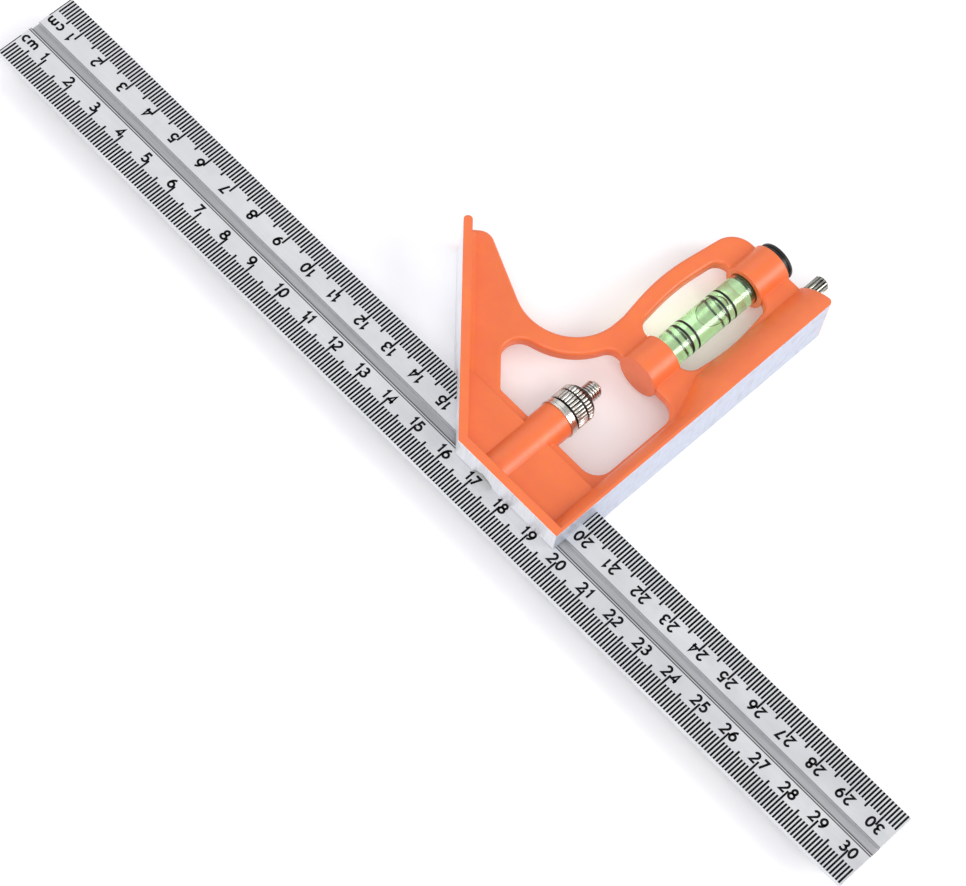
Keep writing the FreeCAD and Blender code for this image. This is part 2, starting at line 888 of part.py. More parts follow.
NODES = [
    "blade",
    "head",
    "clamp_bolt",
    "clamp_spring",
    "clamp_washer",
    "clamp_nut",
    "vial_seat_pad",
    "vial_tube",
    "vial_ring_1",
    "vial_ring_2",
    "vial_ring_3",
    "vial_ring_4",
    "vial_liquid",
    "vial_bubble",
    "vial_plug",
    "vial_end_cap",
    "scriber_pin",
    "scriber_knob",
    "scriber_bush",
]


def export_nodes():
    """Checks every object and writes each piece to its own file."""
    doc.recompute()
    for item in doc.Objects:
        if "Invalid" in item.State or "Error" in item.State:
            raise RuntimeError(f"{item.Label} failed: {item.State}")
    pieces = {name: doc.getObjectsByLabel(name)[0] for name in NODES}
    for name, piece in pieces.items():
        if piece.Shape.isNull() or not piece.Shape.isValid():
            raise RuntimeError(f"{name} has no valid shape")
    os.makedirs("parts", exist_ok=True)
    for name, piece in pieces.items():
        piece.Shape.exportStep(f"parts/{name}.step")
        box = piece.Shape.BoundBox
        print(
            f"{name}: {len(piece.Shape.Solids)} solid, {piece.Shape.Volume:.1f} mm3,"
            f" x {box.XMin:.2f} {box.XMax:.2f}, y {box.YMin:.2f} {box.YMax:.2f},"
            f" z {box.ZMin:.2f} {box.ZMax:.2f}"
        )


make_head()
make_blade()
make_clamp_bolt()
make_clamp_spring()
make_clamp_washer_and_nut()
make_vial_seat_pad()
make_vial_tube()
make_vial_rings()
make_vial_contents()
make_vial_end_cap()
make_scriber()
export_nodes()
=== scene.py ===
import math

import bpy
from mathutils import Matrix, Vector


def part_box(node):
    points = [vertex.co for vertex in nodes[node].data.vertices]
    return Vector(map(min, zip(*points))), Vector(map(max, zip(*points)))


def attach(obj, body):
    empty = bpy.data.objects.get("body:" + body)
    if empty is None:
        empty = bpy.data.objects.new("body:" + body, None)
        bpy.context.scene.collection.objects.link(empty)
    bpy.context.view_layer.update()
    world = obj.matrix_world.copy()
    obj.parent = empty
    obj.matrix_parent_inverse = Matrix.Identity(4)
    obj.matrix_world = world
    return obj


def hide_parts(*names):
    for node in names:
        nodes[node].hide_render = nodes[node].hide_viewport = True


# Looks of the combination square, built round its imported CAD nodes. Lengths are in metres.

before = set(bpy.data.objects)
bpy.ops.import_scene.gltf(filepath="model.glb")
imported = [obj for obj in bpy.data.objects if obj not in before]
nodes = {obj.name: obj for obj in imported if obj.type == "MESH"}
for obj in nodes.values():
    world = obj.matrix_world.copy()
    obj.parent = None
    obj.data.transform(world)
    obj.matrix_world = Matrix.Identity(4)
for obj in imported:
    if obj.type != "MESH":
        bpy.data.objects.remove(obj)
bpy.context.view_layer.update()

MM = 0.001

# Sizes of details that the CAD nodes don't give. Round ones are radii.
GROOVE_HALF = 1.35 * MM
SLOT_HALF = 1.2 * MM
THREAD_PITCH = 0.8 * MM
THREAD_CREST = 2.5 * MM
THREAD_FLANK = 2.3 * MM
THREAD_ROOT = 2.08 * MM
NUT_BORE = 2.55 * MM
KNURL_DEPTH = 0.42 * MM
TUBE_FLOOR = 1.5 * MM
CAP_SKIRT = 4.6 * MM
KNOB_NECK = 1.6 * MM
# The ends of the vial's solids are capped by a small face of this radius.
NEAR_AXIS = 0.01 * MM

# What the pieces are placed by, read from the CAD nodes.
blade_low, blade_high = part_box("blade")
head_low, head_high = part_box("head")
bolt_low, bolt_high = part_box("clamp_bolt")
nut_low, nut_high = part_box("clamp_nut")
tube_low, tube_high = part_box("vial_tube")
plug_low, plug_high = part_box("vial_plug")
cap_low, cap_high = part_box("vial_end_cap")
knob_low, knob_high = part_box("scriber_knob")
pin_low, pin_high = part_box("scriber_pin")

mid_z = (head_low.z + head_high.z) / 2
reference_y = blade_high.y
square_x = head_high.x
jaw_y = head_low.y
clamp_x = (bolt_low.x + bolt_high.x) / 2
vial_x = (tube_low.x + tube_high.x) / 2
scriber_x = (pin_low.x + pin_high.x) / 2
groove_y = (blade_low.y + blade_high.y) / 2


# Materials


class Look:
    """A procedural material, with short calls for the nodes that it is made of."""

    SOFT_BORDER = 0.08 * MM

    def __init__(self, name, colour, roughness, metallic=0.0, **constants):
        self.material = bpy.data.materials.new(name)
        self.material.use_nodes = True
        self.tree = self.material.node_tree
        self.shader = next(n for n in self.tree.nodes if n.type == "BSDF_PRINCIPLED")
        self.set(Base_Color=(*colour, 1), Roughness=roughness, Metallic=metallic)
        self.set(**constants)
        texture = self.node("ShaderNodeTexCoord")
        self.place = texture.outputs["Object"]
        self.normal = texture.outputs["Normal"]

    def set(self, **values):
        """Sets the shader's sockets, with underscores for the spaces in their names."""
        for name, value in values.items():
            self.put(self.shader.inputs[name.replace("_", " ")], value)

    def put(self, socket, value):
        """Links a socket to another node's output, or gives it a constant."""
        if isinstance(value, bpy.types.NodeSocket):
            self.tree.links.new(value, socket)
        else:
            socket.default_value = value

    def node(self, kind, inputs=None, **settings):
        """A new node with its settings, and its inputs by name or number."""
        made = self.tree.nodes.new(kind)
        for name, value in settings.items():
            setattr(made, name, value)
        for name, value in (inputs or {}).items():
            self.put(made.inputs[name], value)
        return made

    def math(self, operation, *values):
        """The result of an operation on sockets or constants."""
        made = self.node("ShaderNodeMath", operation=operation)
        for socket, value in zip(made.inputs, values):
            self.put(socket, value)
        return made.outputs[0]

    def split(self, vector):
        """The x, y and z of a vector."""
        return self.node("ShaderNodeSeparateXYZ", {"Vector": vector}).outputs

    def away(self, coordinate, centre):
        """How far a coordinate is from a value, on either side."""
        return self.math("ABSOLUTE", self.math("SUBTRACT", coordinate, centre))

    def from_axis(self, x, z, axis_x):
        """Distance from an axis that runs along Y at half height."""
        across = self.math("POWER", self.away(x, axis_x), 2.0)
        out = self.math("POWER", self.away(z, mid_z), 2.0)
        return self.math("SQRT", self.math("ADD", across, out))

    def noise(self, size, detail=3.0, stretch=(1, 1, 1)):
        """Noise from 0 to 1 with patches of about that size, longer where stretch is small."""
        mapped = self.node("ShaderNodeMapping", {"Vector": self.place, "Scale": stretch})
        settings = {"Vector": mapped.outputs[0], "Scale": 1 / size, "Detail": detail}
        return self.node("ShaderNodeTexNoise", settings).outputs[0]

    def spread(self, value, low, high, start=0.3, end=0.7):
        """Maps a value that runs from start to end onto low to high, and holds it there."""
        settings = {
            "Value": value, "From Min": start, "From Max": end, "To Min": low, "To Max": high,
        }
        return self.node("ShaderNodeMapRange", settings).outputs[0]

    def mix(self, share, first, second):
        """Blends two colours. The node's sockets 6 and 7, and its output 2, are the colour ones."""
        made = self.node("ShaderNodeMix", {0: share, 6: first, 7: second}, data_type="RGBA")
        return made.outputs[2]

    def mix_value(self, share, first, second):
        """Blends two numbers. The node's sockets 2 and 3, and its output 0, are the number ones."""
        made = self.node("ShaderNodeMix", {0: share, 2: first, 3: second}, data_type="FLOAT")
        return made.outputs[0]

    def bump(self, height, depth, strength=1.0, base=None):
        inputs = {"Height": height, "Distance": depth, "Strength": strength}
        if base is not None:
            inputs["Normal"] = base
        return self.node("ShaderNodeBump", inputs).outputs[0]

    def line(self, coordinate, centre, half):
        """1 within half of one value of a coordinate, with soft borders."""
        return self.spread(self.away(coordinate, centre), 1, 0, half, half + self.SOFT_BORDER)

    def soft_edge(self, radius):
        """The normal with its sharp edges rounded."""
        return self.node("ShaderNodeBevel", {"Radius": radius}, samples=6).outputs[0]

    def edge_mask(self, radius):
        """1 along sharp edges and 0 elsewhere."""
        rounded = self.soft_edge(radius)
        true = self.node("ShaderNodeNewGeometry").outputs["Normal"]
        dot = self.node("ShaderNodeVectorMath", operation="DOT_PRODUCT")
        self.put(dot.inputs[0], rounded)
        self.put(dot.inputs[1], true)
        return self.spread(dot.outputs["Value"], 1.0, 0.0, start=0.72, end=0.96)


def rgb(*values):
    """A colour given as the 0 to 255 shades that a screen shows."""
    shades = []
    for value in values:
        share = value / 255
        shades.append(share / 12.92 if share <= 0.04045 else ((share + 0.055) / 1.055) ** 2.4)
    return tuple(shades)


def rgba(*values):
    return (*rgb(*values), 1)


def rule_steel():
    """Satin chrome, drawn lengthwise. The groove's floor is duller, with painted shade along its -Y
    wall.
    """
    look = Look("rule_steel", rgb(206, 207, 211), 0.38, 0.5)
    _, y, z = look.split(look.place)
    facing = look.split(look.normal)[2]
    below_front = look.math("LESS_THAN", z, blade_high.z - 0.2 * MM)
    upwards = look.math("GREATER_THAN", facing, 0.5)
    groove = look.math("MULTIPLY", below_front, upwards)
    across = look.math("SUBTRACT", y, groove_y)
    # Painted shade: the groove's floor darkens next to its -Y wall, where that wall shades it.
    corner_shade = look.spread(across, 1, 0, 0.42 * MM - GROOVE_HALF, 0.58 * MM - GROOVE_HALF)
    # Dark lines on the front: the groove's two lips, and a third outside the -Y one.
    lip = look.line(across, -GROOVE_HALF, 0.18 * MM)
    outer_line = look.line(across, -GROOVE_HALF - 0.62 * MM, 0.13 * MM)
    far_lip = look.math("MULTIPLY", look.line(across, GROOVE_HALF + 0.08 * MM, 0.06 * MM), 0.6)
    grain = look.noise(0.35 * MM, 4, (0.04, 1, 1))
    cloud = look.noise(9 * MM, 2, (0.5, 1, 1))
    smudge = look.noise(3.5 * MM, 3)
    shade = look.mix(look.spread(cloud, 0, 1), rgba(207, 208, 211), rgba(219, 220, 222))
    shade = look.mix(look.spread(smudge, 0, 0.35, 0.5, 0.75), shade, rgba(198, 199, 203))
    shade = look.mix(look.spread(grain, 0, 0.2), shade, rgba(190, 191, 195))
    dull = look.mix(look.spread(grain, 0, 1), rgba(166, 167, 170), rgba(180, 181, 184))
    # The painted shade darkens the groove's floor towards its -Y wall.
    dull = look.mix(look.math("MULTIPLY", corner_shade, 0.8), dull, rgba(58, 58, 62))
    lines = look.math("MAXIMUM", look.math("MAXIMUM", lip, outer_line), far_lip)
    lines = look.math("MULTIPLY", lines, look.math("SUBTRACT", 1.0, below_front))
    shade = look.mix(look.math("MULTIPLY", lines, 0.9), shade, rgba(36, 36, 39))
    look.set(Base_Color=look.mix(groove, shade, dull))
    satin = look.spread(cloud, 0.36, 0.46)
    look.set(Roughness=look.mix_value(groove, satin, 0.6))
    look.set(Normal=look.bump(grain, 0.006 * MM, 0.6, look.soft_edge(0.08 * MM)))
    return look.material


def scale_black():
    """Black filling of the etched graduations."""
    look = Look("scale_black", rgb(6, 6, 8), 0.7, Specular_IOR_Level=0.15)
    grain = look.noise(0.25 * MM, 3)
    look.set(Base_Color=look.mix(look.spread(grain, 0, 1), rgba(2, 2, 3), rgba(14, 14, 16)))
    look.set(Roughness=look.spread(grain, 0.6, 0.8))
    return look.material


def head_paint():
    """Orange enamel on a casting, with its square, jaw and miter faces machined bare. The bare
    metal is a painted-shade copy on the square face and a painted-light copy on the other bare
    faces.
    """
    look = Look("head_paint", rgb(232, 104, 60), 0.34)
    x, y, z = look.split(look.place)
    flush = 0.03 * MM
    slot_end = reference_y + 0.2 * MM
    clamp_bore = bolt_high.x - clamp_x + 0.15 * MM
    clamp_bore_end = nut_low.y - 1.5 * MM
    square = look.math("GREATER_THAN", x, square_x - flush)
    jaw = look.math("LESS_THAN", y, jaw_y + flush)
    diagonal = look.math("ADD", x, y)
    miter = look.math("LESS_THAN", diagonal, miter_sum() + flush)
    slot = look.math("LESS_THAN", look.away(z, mid_z), SLOT_HALF)
    slot = look.math("MULTIPLY", slot, look.math("LESS_THAN", y, slot_end))
    bored = look.math("LESS_THAN", look.from_axis(x, z, clamp_x), clamp_bore)
    bored = look.math("MULTIPLY", bored, look.math("LESS_THAN", y, clamp_bore_end))
    bare = look.math("MAXIMUM", look.math("MAXIMUM", square, jaw), miter)
    bare = look.math("MAXIMUM", bare, look.math("MAXIMUM", slot, bored))

    cloud = look.noise(11 * MM, 3)
    blotch = look.noise(2.4 * MM, 3)
    paint = look.mix(look.spread(cloud, 0, 1), rgba(227, 110, 55), rgba(233, 119, 61))
    paint = look.mix(look.spread(blotch, 0, 0.5), paint, rgba(228, 107, 71))
    orange_peel = look.noise(1.1 * MM, 2)
    # Painted highlight: the paint turns a lighter orange along sharp edges, in noise patches.
    edge = look.edge_mask(0.35 * MM)
    edge_highlight = look.math("MULTIPLY", edge, look.spread(look.noise(2.2 * MM, 4), 0.1, 0.55))
    paint = look.mix(edge_highlight, paint, rgba(250, 156, 108))

    along = look.noise(0.22 * MM, 3, (1, 1, 0.03))
    patch = look.noise(3.0 * MM, 3)
    # One bare metal in two painted shades: darker on the square face (painted shade), near white on
    # the jaw, miter and cut faces (painted light).
    square_face_shaded = look.mix(look.spread(along, 0, 1), rgba(182, 187, 202), rgba(206, 211, 225))
    square_face_shaded = look.mix(look.spread(patch, 0, 0.5, 0.5, 0.7), square_face_shaded, rgba(172, 172, 181))
    bare_face_lit = look.mix(look.spread(along, 0, 1), rgba(230, 230, 236), rgba(246, 246, 250))
    look.set(Base_Color=look.mix(bare, paint, look.mix(square, bare_face_lit, square_face_shaded)))
    look.set(Metallic=look.math("MULTIPLY", bare, 0.5))
    gloss = look.spread(orange_peel, 0.32, 0.4)
    look.set(Roughness=look.mix_value(bare, gloss, look.spread(along, 0.35, 0.5)))
    surface = look.mix_value(bare, orange_peel, along)
    look.set(Normal=look.bump(surface, 0.018 * MM, 0.5, look.soft_edge(0.3 * MM)))
    return look.material


def miter_sum():
    """x + y on the miter face, the head's lowest such sum."""
    return min(v.co.x + v.co.y for v in nodes["head"].data.vertices)


def plated_steel(name, axis_x, crest=None, dark=(205, 203, 196), light=(228, 226, 220)):
    """Nickel plate between two shades.

    crest is a pair of radii. Painted shade fades in below the second and is full at the first.
    """
    look = Look(name, rgb(214, 212, 205), 0.2, 1.0)
    tone = look.noise(1.6 * MM, 3)
    colour = look.mix(look.spread(tone, 0, 1), rgba(*dark), rgba(*light))
    if crest is not None:
        x, _, z = look.split(look.place)
        # Painted shade in the valleys of knurls and threads, darkest at their floors.
        depth = look.spread(look.from_axis(x, z, axis_x), 1, 0, crest[0], crest[1])
        colour = look.mix(look.math("MULTIPLY", depth, 0.93), colour, rgba(26, 25, 24))
    look.set(Base_Color=colour)
    look.set(Roughness=look.spread(tone, 0.16, 0.3))
    fine = look.noise(0.3 * MM, 3)
    look.set(Normal=look.bump(fine, 0.004 * MM, 0.5, look.soft_edge(0.08 * MM)))
    return look.material


def turned_metal(name, dark, light, low, high):
    """Bare metal with fine turning marks round the part's axis, which is along Y.

    low and high are its least and its greatest roughness.
    """
    look = Look(name, light, low, 1.0)
    rings = look.noise(0.12 * MM, 3, (0.05, 1, 0.05))
    look.set(Base_Color=look.mix(look.spread(rings, 0, 1), (*dark, 1), (*light, 1)))
    look.set(Roughness=look.spread(rings, low, high))
    look.set(Normal=look.bump(rings, 0.004 * MM, 0.5, look.soft_edge(0.05 * MM)))
    return look.material


def lets_lamps_through(look, tint):
    """Swaps the shader for a tinted clear one for shadow rays, so that light gets through it."""
    output = next(n for n in look.tree.nodes if n.type == "OUTPUT_MATERIAL")
    clear = look.node("ShaderNodeBsdfTransparent", {"Color": tint})
    path = look.node("ShaderNodeLightPath")
    either = look.node("ShaderNodeMixShader", {0: path.outputs["Is Shadow Ray"]})
    look.put(either.inputs[1], look.shader.outputs[0])
    look.put(either.inputs[2], clear.outputs[0])
    look.put(output.inputs["Surface"], either.outputs[0])


def clear_glass(name, colour, ior, roughness, tint):
    """A clear solid or liquid with a faint ripple. Lamps shine through it with the tint."""
    look = Look(name, colour, roughness, IOR=ior, Transmission_Weight=1.0)
    ripple = look.noise(2.5 * MM, 1)
    darker = tuple(0.96 * shade for shade in colour)
    look.set(Base_Color=look.mix(look.spread(ripple, 0, 1), (*darker, 1), (*colour, 1)))
    look.set(Normal=look.bump(ripple, 0.006 * MM, 0.3))
    lets_lamps_through(look, tint)
    return look.material


def moulded(name, dark, light, low, high, size=0.4 * MM, depth=0.01 * MM):
    """Plastic or rubber with a fine moulded grain. low and high are the ends of its roughness."""
    look = Look(name, light, low)
    grain = look.noise(size, 3)
    look.set(Base_Color=look.mix(look.spread(grain, 0, 1), (*dark, 1), (*light, 1)))
    look.set(Roughness=look.spread(grain, low, high))
    look.set(Normal=look.bump(grain, depth, 0.6, look.soft_edge(0.1 * MM)))
    return look.material


def dress(piece, material):
    """Gives a piece one material in place of what it had."""
    piece.data.materials.clear()
    piece.data.materials.append(material)
    return piece


# Meshes


def add_mesh(name, points, faces, body, material, smooth=35):
    """A new piece that rides on a body. Edges sharper than smooth, in degrees, stay crisp."""
    mesh = bpy.data.meshes.new(name)
    mesh.from_pydata(points, [], faces)
    mesh.update()
    mesh.shade_smooth()
    mesh.set_sharp_from_angle(angle=math.radians(smooth))
    piece = bpy.data.objects.new(name, mesh)
    bpy.context.scene.collection.objects.link(piece)
    dress(piece, material)
    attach(piece, body)
    return piece


def ridge(turn, count, flat):
    """0 on the flat crests of so many ridges round a circle, and 1 at the bottom of each valley.

    flat is the crest's share of a ridge.
    """
    phase = (turn * count) % 1
    valley = 1 - abs(2 * phase - 1)
    return max(0.0, (valley - flat) / (1 - flat))


def turned_points(axis_x, profile, steps, ridges=0, flat=0.3):
    """Rings of points about an axis along Y. The profile is (radius, y, depth of ridge valley)."""
    points = []
    for radius, y, depth in profile:
        for step in range(steps):
            turn = step / steps
            here = radius - depth * (ridge(turn, ridges, flat) if ridges else 0)
            points.append(round_axis(axis_x, here, y, turn))
    return points


def round_axis(axis_x, radius, y, turn):
    """A point at some share of a turn about an axis along Y at half height."""
    angle = 2 * math.pi * turn
    return (axis_x + radius * math.cos(angle), y, mid_z - radius * math.sin(angle))


def ring_faces(rings, steps, closed=False):
    """Quads between the rings, with the ends capped unless the profile is a closed loop."""
    faces = []
    pairs = rings if closed else rings - 1
    for ring in range(pairs):
        below = ring * steps
        above = ((ring + 1) % rings) * steps
        for step in range(steps):
            after = (step + 1) % steps
            faces.append((below + step, below + after, above + after, above + step))
    if not closed:
        faces.append(tuple(reversed(range(steps))))
        faces.append(tuple((rings - 1) * steps + step for step in range(steps)))
    return faces


def turned(
    name, axis_x, profile, body, material, steps=96, ridges=0, closed=False, flat=0.3,
):
    """A new piece turned about an axis along Y."""
    points = turned_points(axis_x, profile, steps, ridges, flat)
    faces = ring_faces(len(profile), steps, closed)
    return add_mesh(name, points, faces, body, material)


# The rule's scale

TICK_COUNT = 304
TICK_WIDTH = 0.55 * MM
# Lengths of a plain tick, a half-centimetre tick and a centimetre tick.
TICK_LENGTHS = (5.1 * MM, 6.2 * MM, 7.7 * MM)
# The tick at zero is cut this far short of the blade's end.
END_GAP = 0.02 * MM
NUMBER_HEIGHT = 3.3 * MM
NUMBER_FOOT = 6.3 * MM
# A single digit stands this far before its tick.
SINGLE_SHIFT = 1.2 * MM
STROKE = 0.64 * MM
DIGIT_GAP = 0.56 * MM
PROUD = 0.012 * MM
# The letters cm: their middle from zero, foot from the edge, height and gap.
UNIT_PLACE = (3.2 * MM, 6.8 * MM, 3.6 * MM, 0.1 * MM)


def arc(middle_x, middle_y, wide, high, start, end):
    """Points along an ellipse's arc, between two angles in degrees."""
    degrees_a_step = 20
    count = max(2, round(abs(end - start) / degrees_a_step))
    points = []
    for step in range(count + 1):
        angle = math.radians(start + (end - start) * step / count)
        points.append((middle_x + wide * math.cos(angle), middle_y + high * math.sin(angle)))
    return points


def turned_over(strokes, width):
    """A character turned by half a turn about the middle of its own box."""
    return [[(width - x, 1 - y) for x, y in stroke] for stroke in strokes]


# The centre lines of plain sign-writer's characters that are 1 high: width, then strokes.
SIX = [arc(0.3, 0.3, 0.29, 0.3, 180, 540), arc(0.62, 0.3, 0.61, 0.7, 180, 105)]
CHARACTERS = {
    "0": (0.58, [arc(0.29, 0.5, 0.29, 0.5, 90, 450)]),
    "1": (0.22, [[(0, 0.76), (0.22, 1), (0.22, 0)]]),
    "2": (0.56, [arc(0.28, 0.72, 0.27, 0.28, 165, -35) + [(0, 0), (0.58, 0)]]),
    "3": (0.56, [arc(0.26, 0.76, 0.24, 0.24, 150, -90) + arc(0.27, 0.27, 0.29, 0.27, 80, -150)]),
    "4": (0.6, [[(0.44, 0), (0.44, 1), (0, 0.27), (0.6, 0.27)]]),
    "5": (0.56, [[(0.52, 1), (0.1, 1), (0.05, 0.53)] + arc(0.27, 0.31, 0.29, 0.31, 125, -150)]),
    "6": (0.6, SIX),
    "7": (0.56, [[(0, 1), (0.56, 1), (0.18, 0)]]),
    "8": (0.58, [arc(0.29, 0.76, 0.23, 0.24, -90, 270), arc(0.29, 0.27, 0.29, 0.27, 90, 450)]),
    "9": (0.6, turned_over(SIX, 0.6)),
    "c": (0.5, [arc(0.28, 0.3, 0.28, 0.3, 50, 310)]),
    "m": (
        0.8,
        [
            [(0, 0), (0, 0.6)],
            arc(0.2, 0.38, 0.2, 0.22, 180, 0) + [(0.4, 0)],
            arc(0.6, 0.38, 0.2, 0.22, 180, 0) + [(0.8, 0)],
        ],
    ),
}


def tick_marks():
    """Ticks of one edge: the sides' distances from zero, and the length in from the edge."""
    ticks = []
    for millimetre in range(TICK_COUNT + 1):
        rank = 2 if millimetre % 10 == 0 else 1 if millimetre % 5 == 0 else 0
        centre = millimetre * MM
        left = max(centre - TICK_WIDTH / 2, END_GAP)
        right = centre + TICK_WIDTH / 2
        ticks.append((left, right, TICK_LENGTHS[rank]))
    return ticks


def ribbon(stroke, half):
    """Left and right edges of a band along a stroke, with mitred corners of limited reach."""
    longest_reach = 2.0
    sharpest_cosine = 0.1
    closed = math.dist(stroke[0], stroke[-1]) < half / 10
    places = stroke[:-1] if closed else stroke
    count = len(places)
    edges = []
    for index, (x, y) in enumerate(places):
        before = places[index - 1] if index or closed else places[index]
        after = places[(index + 1) % count] if index + 1 < count or closed else places[index]
        come = Vector((x - before[0], y - before[1]))
        go = Vector((after[0] - x, after[1] - y))
        come = come.normalized() if come.length else go.normalized()
        go = go.normalized() if go.length else come
        along = (come + go).normalized()
        reach = min(longest_reach, 1 / max(sharpest_cosine, along.dot(go)))
        side = Vector((-along.y, along.x)) * half * reach
        edges.append(((x + side.x, y + side.y), (x - side.x, y - side.y)))
    return edges, closed


def text_mesh(text, height, gap):
    """Flat bands for some text, its foot on y = 0 and its middle on x = 0: points and faces."""
    size = height - STROKE
    start = -(sum(CHARACTERS[c][0] * size for c in text) + (gap + STROKE) * (len(text) - 1)) / 2
    points = []
    faces = []
    for character in text:
        width, strokes = CHARACTERS[character]
        for stroke in strokes:
            placed = [(start + x * size, STROKE / 2 + y * size) for x, y in stroke]
            edges, closed = ribbon(placed, STROKE / 2)
            first = len(points)
            for left, right in edges:
                points += [left, right]
            count = len(edges)
            for index in range(count if closed else count - 1):
                here = first + 2 * index
                after = first + 2 * ((index + 1) % count)
                faces.append((here, here + 1, after + 1, after))
        start += width * size + gap + STROKE
    return points, faces


def number_places():
    """Text beside the scale: its middle from zero, foot from the edge, height and letter gap."""
    places = [("cm", *UNIT_PLACE)]
    for centimetre in range(1, 31):
        before = SINGLE_SHIFT if centimetre < 10 else 0
        middle = centimetre * 10 * MM - before
        places.append((str(centimetre), middle, NUMBER_FOOT, NUMBER_HEIGHT, DIGIT_GAP))
    return places


def add_scale(side):
    """Graduations and numbers along both edges of one face. side is 1 in front and -1 behind."""
    z = blade_high.z + PROUD if side > 0 else blade_low.z - PROUD
    half = (blade_high.y - blade_low.y) / 2
    where = "front" if side > 0 else "back"

    def put(along, inwards, upper):
        """A place on this face from its distance along the rule and in from the edge."""
        x = blade_low.x + along
        y = groove_y + (half - inwards if upper else inwards - half) * side
        return (x, y, z)

    points = []
    faces = []
    for upper in (False, True):
        for left, right, length in tick_marks():
            start = len(points)
            corners = [(left, 0.0), (right, 0.0), (right, length), (left, length)]
            points += [put(along, inwards, upper) for along, inwards in corners]
            faces.append((start, start + 1, start + 2, start + 3))
    add_mesh(f"rule_ticks_{where}", points, faces, "rule", black)

    # The numbers of the upper edge are read from the other side of the tool.
    points = []
    faces = []
    for upper in (False, True):
        turn = -1 if upper else 1
        for text, middle, foot, height, gap in number_places():
            glyph, glyph_faces = text_mesh(text, height, gap)
            start = len(points)
            for x, y in glyph:
                points.append(put(middle + turn * x, foot + y, upper))
            faces += [tuple(start + index for index in face) for face in glyph_faces]
    add_mesh(f"rule_numbers_{where}", points, faces, "rule", black)


# Clamp


def add_nut():
    """The knurled nut: a smooth collar, a knurl parted by one groove, and a knurled shoulder."""
    y = nut_low.y
    top = nut_high.y
    collar = (nut_high.x - nut_low.x) / 2
    knurl = collar - 0.1 * MM
    neck = knurl - 0.7 * MM
    groove = knurl - 0.65 * MM
    deep = KNURL_DEPTH
    profile = [
        # Seat and collar
        (NUT_BORE, y, 0),
        (collar - 0.2 * MM, y, 0),
        (collar, y + 0.2 * MM, 0),
        (collar, y + 1.15 * MM, 0),
        (collar - 0.15 * MM, y + 1.3 * MM, 0),
        # Neck
        (neck, y + 1.4 * MM, 0),
        (neck, y + 1.75 * MM, 0),
        # Lower knurl
        (knurl - 0.15 * MM, y + 1.95 * MM, deep * 0.5),
        (knurl, y + 2.2 * MM, deep),
        (knurl, y + 4.9 * MM, deep),
        (knurl - 0.2 * MM, y + 5.1 * MM, deep * 0.6),
        # Groove
        (groove, y + 5.15 * MM, 0),
        (groove, y + 5.45 * MM, 0),
        # Upper knurl and shoulder
        (knurl - 0.2 * MM, y + 5.5 * MM, deep * 0.6),
        (knurl, y + 5.7 * MM, deep),
        (knurl, top - 1.5 * MM, deep),
        (knurl - 1.1 * MM, top - 0.2 * MM, deep * 0.8),
        # Top
        (knurl - 1.4 * MM, top, 0),
        (NUT_BORE + 0.5 * MM, top, 0),
        (NUT_BORE, top - 0.4 * MM, 0),
    ]
    ridges = 32
    steps_a_ridge = 10
    # The knurl's valleys get painted shade.
    metal = plated_steel("nut_plate", clamp_x, (knurl - deep, knurl - 0.08 * MM))
    nut = turned(
        "nut_knurled", clamp_x, profile, "nut", metal,
        steps=ridges * steps_a_ridge, ridges=ridges, closed=True, flat=0.35,
    )
    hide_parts("clamp_nut")


def add_thread():
    """The M5 thread of the bolt's upper end, a helix with a crest and a root in every pitch."""
    low = nut_low.y - 0.3 * MM
    high = bolt_high.y - 0.45 * MM
    chamfer = 0.5 * MM
    # Points past either end are drawn in to this radius, inside the bolt's own cylinder.
    tucked = 2.0 * MM
    steps = 48
    # One pitch of the outline: how far along the pitch, and the radius there.
    outline = (
        (0.0, THREAD_ROOT),
        (0.22, THREAD_FLANK),
        (0.44, THREAD_CREST),
        (0.56, THREAD_CREST),
        (0.78, THREAD_FLANK),
        (0.94, THREAD_ROOT),
    )
    turns = int((high - low) / THREAD_PITCH) + 2
    rows = [(turn - 1 + share, radius) for turn in range(turns) for share, radius in outline]
    points = []
    for pitches, thread_radius in rows:
        for step in range(steps + 1):
            y = low + THREAD_PITCH * (pitches + step / steps)
            held = min(max(y, low), high)
            over = max(0.0, held - (high - chamfer))
            radius = min(thread_radius, THREAD_CREST - over) if held == y else tucked
            points.append(round_axis(clamp_x, radius, held, step / steps))
    faces = []
    for row in range(len(rows) - 1):
        for step in range(steps):
            a = row * (steps + 1) + step
            faces.append((a, a + 1, a + steps + 2, a + steps + 1))
    # The thread's roots get painted shade.
    metal = plated_steel("thread_plate", clamp_x, (THREAD_ROOT, THREAD_CREST - 0.05 * MM))
    add_mesh("bolt_thread", points, faces, "bolt", metal, smooth=50)


# Spirit level


